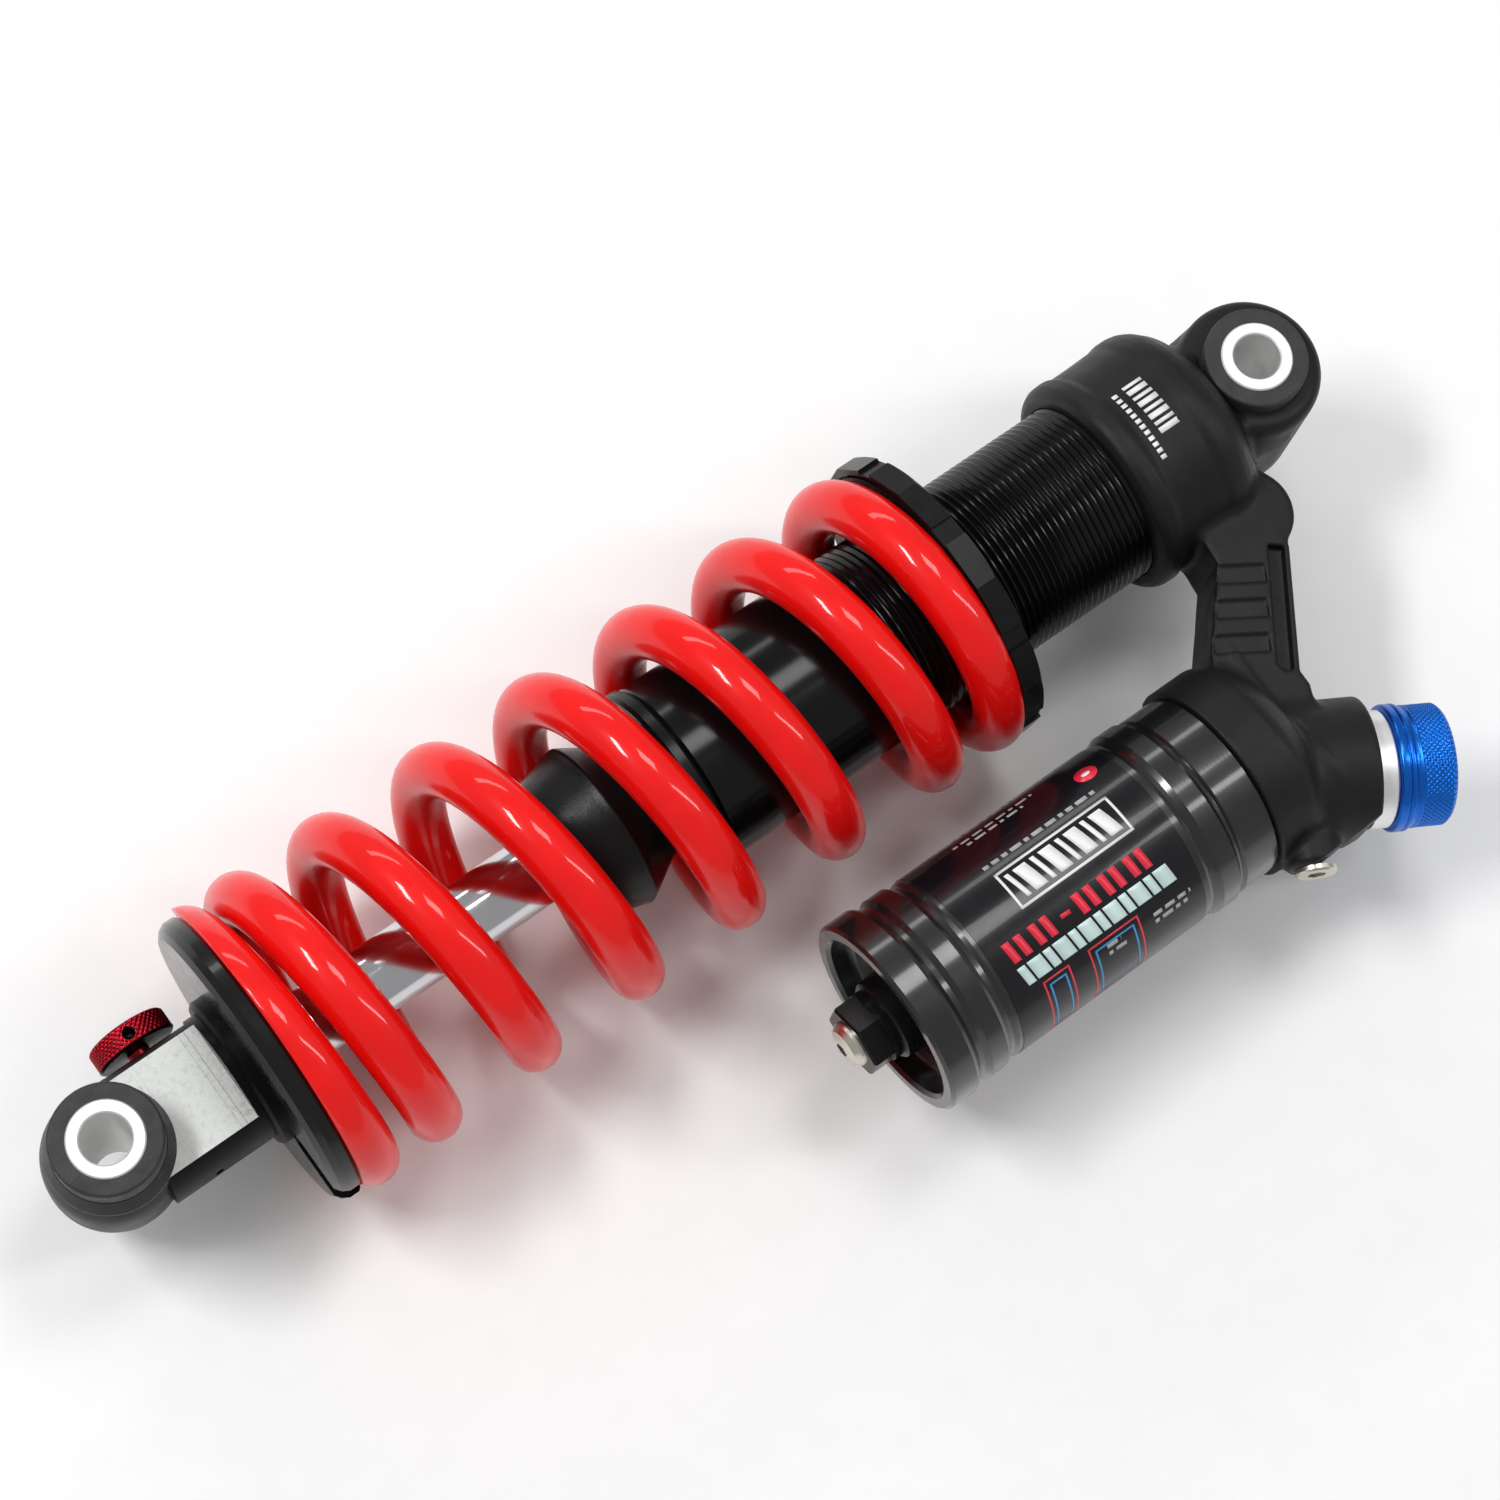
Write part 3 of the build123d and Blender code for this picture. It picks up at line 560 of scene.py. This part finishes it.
def cast_arm(block):
    """The arm to the reservoir, with its channel and three sunk bands on both sides."""
    flat_x, flat_y = block.x[:, :, 0], block.y[:, :, 0]
    knuckle = np.hypot(flat_x + 16.0, flat_y + 20.5) - 8.4
    arm = blend_in(polygon(flat_x, flat_y, ARM_OUTLINE), knuckle, 1.0)[:, :, None]
    arm = corner(arm, abs(block.z) - 8.4, 0.9)
    channel = polygon(flat_x, flat_y, CHANNEL_OUTLINE)
    arm = np.maximum(arm, -corner(channel[:, :, None], 6.2 - abs(block.z), 0.3))
    for band in range(3):
        du, dv = flat_x + 24.3 + 4.05 * band, flat_y + 28.8 + 5.05 * band
        along = du * math.cos(BAND_TILT) + dv * math.sin(BAND_TILT)
        across = dv * math.cos(BAND_TILT) - du * math.sin(BAND_TILT)
        box = np.maximum(abs(along) - 4.4 - 0.3 * band, abs(across) - 1.65)[:, :, None]
        slope = 7.85 + 0.22 * (across[:, :, None] - 1.65) / 3.3
        arm = np.maximum(arm, -np.maximum(box, slope - abs(block.z)))
    return arm


def cast_head(block):
    """The whole casting: body eye, neck, cap, arm, reservoir head, adjuster boss and bleed boss."""
    eye = block.drum((0, 0, 0), Z_DIR, X_DIR, -13.18, 13.18, 13.08, 2.6)
    neck = corner(abs(block.y) - 13.0, abs(block.z) - 10.5, 6.0)
    neck = np.maximum(neck, abs(block.x + 8.5) - 7.5)
    cap = block.turned((0, 0, 0), X_DIR, Z_DIR, CAP_PROFILE)
    head = blend_in(blend_in(eye, neck, 2.4), cap, 1.6)
    head = blend_in(head, cast_arm(block), 1.8)
    dome = block.turned((0, RES_Y, 0), X_DIR, Z_DIR, DOME_PROFILE)
    boss = block.drum(ADJ_ROOT, ADJ_DIR, ADJ_OUT, 4.0, 27.1, 13.15, 0.7)
    tower = block.drum(BLEED_ROOT, ADJ_OUT, Z_DIR, 0.0, 17.35, 5.25, 1.1)
    head = blend_in(head, blend_in(blend_in(dome, boss, 1.6), tower, 1.2), 1.8)
    holes = (
        ((0, 0, 0), Z_DIR, X_DIR, -30, 30, 8.01),
        ((0, 0, 0), Z_DIR, X_DIR, 13.2, 30, 9.9),
        ((0, 0, 0), Z_DIR, X_DIR, -30, -13.2, 9.9),
        ((0, 0, 0), X_DIR, Z_DIR, -60, -15, 17.41),
        ((0, RES_Y, 0), X_DIR, Z_DIR, -60, -43, 16.81),
        (ADJ_ROOT, ADJ_DIR, ADJ_OUT, 15, 40, 9.01),
        (BLEED_ROOT, ADJ_OUT, Z_DIR, 12.4, 30, 2.5),
    )
    for hole in holes:
        head = np.maximum(head, -block.drum(*hole, 0))
    return head


block = Field((-53, -77, -22.5), (14.5, 22.5, 22.5), 0.34)
piece("body_head_casting", block.mesh(cast_head(block)), "damper", cast, ["body_head"])

# ---------------------------------------------------------------- coil spring
WIRE_R = 4.75 * MM
PAINT_R = WIRE_R - 0.002 * MM  # drawn a hair inside the solid wire
COIL_R = 24.0 * MM
COIL_TURNS = 7.79
TIP_ANGLE = math.radians(14)
# each end: rise in its first turn, turns before it opens, turns while it opens, wire left by grinding
LOW_END = (9.9 * MM, 0.7, 1.25, 4.05 * MM)
HIGH_END = (9.0 * MM, 0.7, 0.5, 3.55 * MM)
spring_low, spring_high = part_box("coil_spring")
coil_first = spring_low.x + LOW_END[3] - WIRE_R
coil_last = spring_high.x - HIGH_END[3] + WIRE_R
lost = [end[1] + end[2] / 2 for end in (LOW_END, HIGH_END)]
end_rise = LOW_END[0] * lost[0] + HIGH_END[0] * lost[1]
OPEN_RISE = (coil_last - coil_first - end_rise) / (COIL_TURNS - sum(lost))


def climb(turns, end):
    """Height of the wire's centre above a tip, for turns counted from that tip."""
    pitch, dead, ease, _ = end
    if turns <= dead:
        return pitch * turns
    if turns <= dead + ease:
        return pitch * turns + (OPEN_RISE - pitch) * (turns - dead) ** 2 / (2 * ease)
    return OPEN_RISE * turns - (OPEN_RISE - pitch) * (dead + ease / 2)


def coil_point(turns):
    """The wire's centre at a number of turns from the lower tip."""
    if turns <= COIL_TURNS / 2:
        x = coil_first + climb(turns, LOW_END)
    else:
        x = coil_last - climb(COIL_TURNS - turns, HIGH_END)
    angle = 2 * math.pi * turns + TIP_ANGLE
    return Vector((x, COIL_R * math.cos(angle), COIL_R * math.sin(angle)))


work = bmesh.new()
STEPS = 520
AROUND = 32
rings = []
for step in range(STEPS + 1):
    turns = COIL_TURNS * step / STEPS
    centre = coil_point(turns)
    ahead = coil_point(min(turns + 0.002, COIL_TURNS)) - coil_point(max(turns - 0.002, 0))
    outward = Vector((0, centre.y, centre.z)).normalized()
    side = ahead.normalized().cross(outward).normalized()
    ring = []
    for k in range(AROUND):
        a = 2 * math.pi * k / AROUND
        ring.append(work.verts.new(centre + (outward * math.cos(a) + side * math.sin(a)) * PAINT_R))
    rings.append(ring)
for low, high in zip(rings, rings[1:]):
    for k in range(AROUND):
        after = (k + 1) % AROUND
        work.faces.new((low[k], low[after], high[after], high[k]))
work.faces.new(rings[0][::-1])
work.faces.new(rings[-1])
bmesh.ops.recalc_face_normals(work, faces=work.faces[:])
grind(work, (spring_low.x, 0, 0), (-1, 0, 0))
grind(work, (spring_high.x, 0, 0), (1, 0, 0))
coil = piece("coil", work, "damper", red_paint, ["coil_spring"])
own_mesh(coil)

# ---------------------------------------------------------------- bump stop
cone = soften([
    (-152.5, 6.6), (-152.5, 12.1), (-151.7, 13.0), (-142.6, 15.3), (-141.6, 15.69, 0.6), (-140.8, 15.3),
    (-134.2, 11.2), (-130.6, 10.4, 1.0), (-130.6, 6.6),
], 0.7)
work = lathe(cone, (0, 0, 0), X_DIR, Z_DIR, 96)
stop = piece("bump_stop_rubber", work, "damper", rubber, ["bump_stop"])
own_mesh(stop)


# ---------------------------------------------------------------- knurled dials
def diamond(low, high, teeth, pitch, depth):
    """Knurl cut between two distances along a dial: crossing grooves that leave small pyramids."""
    def ripple(along, angle):
        if along < low or along > high:
            return 0.0
        turn = teeth * angle / (2 * math.pi)
        run = along / pitch
        first = abs((turn + run) % 1.0 - 0.5) * 2
        second = abs((turn - run) % 1.0 - 0.5) * 2
        return -depth * max(first, second)
    return ripple


def fine(low, high, step):
    """Evenly spaced distances between two ends."""
    count = max(1, int(round((high - low) / step)))
    return [low + (high - low) * i / count for i in range(count + 1)]


blue = soften([
    (31.0, 0.0), (31.0, 11.0), (31.35, 11.3, 0.2), (32.5, 11.3, 0.1), (32.7, 10.95, 0.1),
    (33.0, 11.3, 0.1), (33.6, 11.3, 0.2), (34.0, 10.6, 0.15), (34.7, 10.6, 0.15), (35.0, 10.88),
], 0.2, 3)
blue += [(s, 10.88) for s in fine(35.05, 40.45, 0.16)]
blue += soften([
    (40.5, 10.88), (41.3, 10.1, 0.15), (41.3, 6.6, 0.3), (41.0, 6.3, 0.2), (41.0, 0.0),
], 0.3, 3)
knurl = diamond(35.2, 40.6, 66, 1.05, 0.36)
work = lathe(blue, tuple(ADJ_ROOT * MM), ADJ_DIR, Z_DIR, 528, knurl)
piece("compression_dial_knurled", work, "compression_dial", blue_metal,
      ["compression_knob"])

KEY_HOLE_Y = 15.05 * MM
KEY_HOLE_R = 1.1 * MM
SHADED_BACK_Y = 13.4 * MM  # the dial's back face behind its knurled rim is painted black as painted shade
knob_low, knob_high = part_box("rebound_knob")
knob_x = (knob_low.x + knob_high.x) / 2
knob_z = (knob_low.z + knob_high.z) / 2
red_rim = soften([
    (1.5, 0.0), (1.5, 2.0), (13.0, 2.0, 0.2), (13.0, 6.8), (13.4, 7.22), (13.5, 7.22),
], 0.25, 3)
red_rim += [(s, 7.22) for s in fine(13.5, 16.6, 0.15)]
red_rim += soften([(16.6, 7.22), (17.1, 6.8), (17.1, 2.5), (15.7, 2.4), (15.7, 0.0)], 0.2, 3)
work = lathe(red_rim, (knob_x, 0, knob_z), Y_DIR, Z_DIR, 352, diamond(13.45, 16.7, 44, 0.98, 0.34))
drill(work, (knob_x, KEY_HOLE_Y, knob_z + 4.5 * MM), KEY_HOLE_R, 3.5 * MM)
red_dial = piece("rebound_dial_knurled", work, "rebound_dial", red_metal,
                 ["rebound_knob"])
# The key hole's inside and the dial's back face get black satin as painted shade; the real dial is red
# metal there.
red_dial.data.materials.append(satin)
for face in red_dial.data.polygons:
    from_hole = math.hypot(face.center.x - knob_x, face.center.y - KEY_HOLE_Y)
    inside_hole = face.center.z > knob_z + 4 * MM and from_hole < KEY_HOLE_R + 0.01 * MM
    if inside_hole or (face.normal.y < -0.7 and face.center.y < SHADED_BACK_Y):
        face.material_index = 1


# ---------------------------------------------------------------- printed marks
PRINT_R = 17.93
INK_DEPTH = 0.025


def wrapped(outline, axis_y, radius):
    """A thin closed patch on a cylinder along X: a convex outline in (x mm, arc angle in degrees)."""
    work = bmesh.new()
    flat = [work.verts.new((x, math.radians(a) * radius, 0)) for x, a in outline]
    work.faces.new(flat)
    for k in range(-80, 220, 3):
        everything = work.verts[:] + work.edges[:] + work.faces[:]
        cut = (0, math.radians(k) * radius, 0)
        bmesh.ops.bisect_plane(work, geom=everything, plane_co=cut, plane_no=(0, 1, 0))
    done = bmesh.ops.extrude_face_region(work, geom=work.faces[:])
    for v in done["geom"]:
        if isinstance(v, bmesh.types.BMVert):
            v.co.z = INK_DEPTH
    for v in work.verts:
        angle = v.co.y / radius
        far = radius + v.co.z
        v.co = Vector((v.co.x, axis_y + far * math.cos(angle), far * math.sin(angle))) * MM
    bmesh.ops.recalc_face_normals(work, faces=work.faces[:])
    return work


def print_marks(name, marks, axis_y, radius, mat):
    """Join several patches into one printed layer on the damper."""
    layer = bmesh.new()
    for mark in marks:
        patch = wrapped(mark, axis_y, radius)
        mesh = bpy.data.meshes.new("mark")
        patch.to_mesh(mesh)
        patch.free()
        layer.from_mesh(mesh)
        bpy.data.meshes.remove(mesh)
    piece(name, layer, "damper", mat)


def bar(x0, x1, a0, a1, slant=0.0):
    """A four-sided mark, its second edge shifted along X by the slant."""
    return [(x0, a0), (x1, a0), (x1 + slant, a1), (x0 + slant, a1)]


def frame_bars(x0, x1, a0, a1, wide, arc):
    """Four bars that outline a box."""
    across = [bar(x0, x1, a0, a0 + arc), bar(x0, x1, a1 - arc, a1)]
    return across + [bar(x0, x0 + wide, a0, a1), bar(x1 - wide, x1, a0, a1)]


def disc(x, a, rx, ra, count=24):
    """A round mark."""
    angles = [2 * math.pi * k / count for k in range(count)]
    return [(x + rx * math.cos(angle), a + ra * math.sin(angle)) for angle in angles]


def hatch(x0, widths, gap, a0, a1, slant):
    """A row of slanted bars of the given widths."""
    row = []
    for wide in widths:
        row.append(bar(x0, x0 + wide, a0, a1, slant))
        x0 += wide + gap
    return row


def dashes(rows, height):
    """Rows of short dashes of uneven length, each row (first x, last x, angle)."""
    marks = []
    seed = 7
    for x0, x1, a in rows:
        x = x0
        while x < x1:
            seed = (seed * 73 + 11) % 97
            long = 0.8 + seed / 97 * 1.6
            marks.append(bar(x, min(x + long, x1), a, a + height))
            x += long + 0.7
    return marks


box_widths = [0.9, 2.6, 0.9, 2.6, 0.9, 2.6, 0.9, 2.6]
white_marks = frame_bars(-96.6, -72.4, 66, 91, 0.5, 1.6)
white_marks += hatch(-95.4, box_widths, 0.95, 70, 87, 1.0)
white_marks.append(disc(-71.4, 44.6, 0.9, 1.6, 16))
small_rows = [(-100, -70, 9), (-99, -71, 14), (-97, -80, 27), (-95, -83, 33), (-97, -73, 58)]
small_rows += [(-77, -69, 137), (-77, -70, 142), (-87, -84, 136), (-87, -83, 141)]
grey_marks = dashes(small_rows, 2.6)
red_marks = [disc(-71.4, 44.6, 2.2, 6.2)]
for start in (-103.4, -97.9, -88.6, -83.1, -77.6):
    red_marks += hatch(start, [1.5, 1.5], 0.9, 100, 112.5, 0.5)
red_marks.append(bar(-91.9, -89.9, 105, 107.5))
teal_marks = hatch(-103.2, [1.6, 2.9] * 6, 0.45, 115.5, 127.5, 0.7)
for low, high in ((-90.6, -79.8), (-100.2, -94.6)):
    red_marks += frame_bars(low, high, 131, 176, 0.35, 1.1)
blue_marks = []
for low, high in ((-89.4, -81.0), (-99.2, -95.6)):
    blue_marks += frame_bars(low, high, 134.6, 172, 0.35, 1.1)
print_marks("print_white", white_marks, RES_Y, PRINT_R + 0.03, ink["white"])
print_marks("print_grey", grey_marks, RES_Y, PRINT_R, ink["grey"])
print_marks("print_red", red_marks, RES_Y, PRINT_R, ink["red"])
print_marks("print_teal", teal_marks, RES_Y, PRINT_R, ink["teal"])
print_marks("print_blue", blue_marks, RES_Y, PRINT_R, ink["blue"])

cap_marks = []
for k in range(4):
    low = 66 + 8.2 * k
    cap_marks.append(bar(-24.9, -20.8, low, low + 1.9))
    cap_marks.append(bar(-24.9, -20.8, low + 3.4, low + 6.4))
for k in range(12):
    cap_marks.append(bar(-27.5, -26.4, 67 + 3.5 * k, 69.2 + 3.5 * k))
print_marks("print_cap", cap_marks, 0.0, 20.66, ink["white"])

# ---------------------------------------------------------------- floor
floor_mat = surface("floor", (0.92, 0.92, 0.92), (0.6, 0.7), vary=0.01)
floor_mesh = bpy.data.meshes.new("floor")
FLOOR = 6.0
corners = [(-FLOOR, -FLOOR, 0), (FLOOR, -FLOOR, 0), (FLOOR, FLOOR, 0), (-FLOOR, FLOOR, 0)]
floor_mesh.from_pydata(corners, [], [(0, 1, 2, 3)])
floor = add(bpy.data.objects.new("floor", floor_mesh))
floor.location.z = cad_box[0].z - 0.0002
paint(floor, floor_mat)
